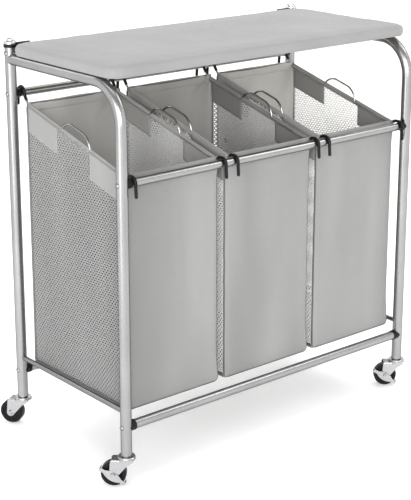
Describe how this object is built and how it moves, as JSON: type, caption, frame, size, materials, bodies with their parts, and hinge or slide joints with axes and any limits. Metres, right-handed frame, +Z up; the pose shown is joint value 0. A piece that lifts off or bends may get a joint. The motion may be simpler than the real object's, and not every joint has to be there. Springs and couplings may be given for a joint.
{
  "type": "laundry sorter",
  "caption": "Rolling laundry sorter: tube frame on swivel casters, lift-off cloth and mesh bags hung on bars, and a hinged padded top for folding or ironing.",
  "frame": {"origin": "on the floor under the middle of the overall box", "axes": "+X to the right along the long side, +Y to the back where the board is hinged, +Z up"},
  "size_m": [0.828, 0.4302, 0.8245],
  "materials": {
    "silver_paint": "satin silver paint",
    "zinc": "bright zinc plate",
    "polished_chrome": "polished",
    "black_plastic": "satin moulded",
    "black_steel": "black paint",
    "wheel_black": "hard moulded wheel, satin",
    "bag_fabric": "woven polyester",
    "bag_mesh": "open mesh",
    "steel_wire": "drawn wire",
    "fibreboard": "raw fibreboard",
    "foam": "open-cell foam",
    "cover_fabric": "padded cotton cover"
  },
  "bodies": {
    "frame": {"left_bent_tube": "silver_paint", "right_bent_tube": "silver_paint", "left_rear_post": "silver_paint", "right_rear_post": "silver_paint", "left_side_rail": "silver_paint", "right_side_rail": "silver_paint", "upper_front_bar": "silver_paint", "upper_rear_bar": "silver_paint", "lower_front_bar": "silver_paint", "lower_rear_bar": "silver_paint", "bar_end_plugs": "black_plastic", "frame_screws": "zinc", "rear_post_caps": "polished_chrome", "hinge_fittings": "black_plastic", "hinge_bolts": "zinc", "caster_sockets": "black_plastic", "caster_stems": "polished_chrome"},
    "board": {"board_panel": "fibreboard", "board_foam": "foam", "board_cover": "cover_fabric", "board_hinge_lugs": "black_steel", "hinge_pins": "zinc", "lug_screws": "zinc"},
    "left_bag": {"left_bag_fabric": "bag_fabric", "left_bag_mesh_sides": "bag_mesh", "left_bag_side_hems": "bag_fabric", "left_bag_corner_patches": "bag_fabric", "left_bag_hanger_wires": "steel_wire", "left_bag_hook_sleeves": "black_plastic"},
    "middle_bag": {"middle_bag_fabric": "bag_fabric", "middle_bag_mesh_sides": "bag_mesh", "middle_bag_side_hems": "bag_fabric", "middle_bag_corner_patches": "bag_fabric", "middle_bag_hanger_wires": "steel_wire", "middle_bag_hook_sleeves": "black_plastic"},
    "right_bag": {"right_bag_fabric": "bag_fabric", "right_bag_mesh_sides": "bag_mesh", "right_bag_side_hems": "bag_fabric", "right_bag_corner_patches": "bag_fabric", "right_bag_hanger_wires": "steel_wire", "right_bag_hook_sleeves": "black_plastic"},
    "front_left_fork": {"front_left_caster_fork": "zinc", "front_left_caster_axle": "zinc"},
    "front_left_wheel": {"front_left_caster_wheel": "wheel_black"},
    "front_left_lever": {"front_left_brake_lever": "zinc"},
    "front_right_fork": {"front_right_caster_fork": "zinc", "front_right_caster_axle": "zinc"},
    "front_right_wheel": {"front_right_caster_wheel": "wheel_black"},
    "front_right_lever": {"front_right_brake_lever": "zinc"},
    "rear_left_fork": {"rear_left_caster_fork": "zinc", "rear_left_caster_axle": "zinc"},
    "rear_left_wheel": {"rear_left_caster_wheel": "wheel_black"},
    "rear_right_fork": {"rear_right_caster_fork": "zinc", "rear_right_caster_axle": "zinc"},
    "rear_right_wheel": {"rear_right_caster_wheel": "wheel_black"}
  },
  "joints": [
    {"name": "board_lift", "type": "hinge", "parent": "frame", "child": "board", "pos_m": [0.01422, 0.16568, 0.81], "axis": [-1, 0, 0], "range_deg": [0, 95]},
    {"name": "left_bag_lift", "type": "slide", "parent": "frame", "child": "left_bag", "axis": [0, 0, 1], "range_m": [0, 0.045]},
    {"name": "middle_bag_lift", "type": "slide", "parent": "frame", "child": "middle_bag", "axis": [0, 0, 1], "range_m": [0, 0.045]},
    {"name": "right_bag_lift", "type": "slide", "parent": "frame", "child": "right_bag", "axis": [0, 0, 1], "range_m": [0, 0.045]},
    {"name": "front_left_swivel", "type": "hinge", "parent": "frame", "child": "front_left_fork", "pos_m": [-0.36578, -0.19531, 0.056], "axis": [0, 0, 1], "continuous": true},
    {"name": "front_left_roll", "type": "hinge", "parent": "front_left_fork", "child": "front_left_wheel", "pos_m": [-0.38377, -0.17795, 0.025], "axis": [-0.6947, -0.7193, 0], "continuous": true},
    {"name": "front_left_brake", "type": "hinge", "parent": "front_left_fork", "child": "front_left_lever", "pos_m": [-0.38377, -0.17795, 0.025], "axis": [-0.6947, -0.7193, 0], "range_deg": [0, 25]},
    {"name": "front_right_swivel", "type": "hinge", "parent": "frame", "child": "front_right_fork", "pos_m": [0.39422, -0.19531, 0.056], "axis": [0, 0, 1], "continuous": true},
    {"name": "front_right_roll", "type": "hinge", "parent": "front_right_fork", "child": "front_right_wheel", "pos_m": [0.37452, -0.17992, 0.025], "axis": [-0.6157, -0.788, 0], "continuous": true},
    {"name": "front_right_brake", "type": "hinge", "parent": "front_right_fork", "child": "front_right_lever", "pos_m": [0.37452, -0.17992, 0.025], "axis": [-0.6157, -0.788, 0], "range_deg": [0, 25]},
    {"name": "rear_left_swivel", "type": "hinge", "parent": "frame", "child": "rear_left_fork", "pos_m": [-0.36578, 0.16969, 0.056], "axis": [0, 0, 1], "continuous": true},
    {"name": "rear_left_roll", "type": "hinge", "parent": "rear_left_fork", "child": "rear_left_wheel", "pos_m": [-0.37976, 0.19041, 0.025], "axis": [-0.829, -0.5592, 0], "continuous": true},
    {"name": "rear_right_swivel", "type": "hinge", "parent": "frame", "child": "rear_right_fork", "pos_m": [0.39422, 0.16969, 0.056], "axis": [0, 0, 1], "continuous": true},
    {"name": "rear_right_roll", "type": "hinge", "parent": "rear_right_fork", "child": "rear_right_wheel", "pos_m": [0.37815, 0.18884, 0.025], "axis": [-0.766, -0.6428, 0], "continuous": true}
  ]
}
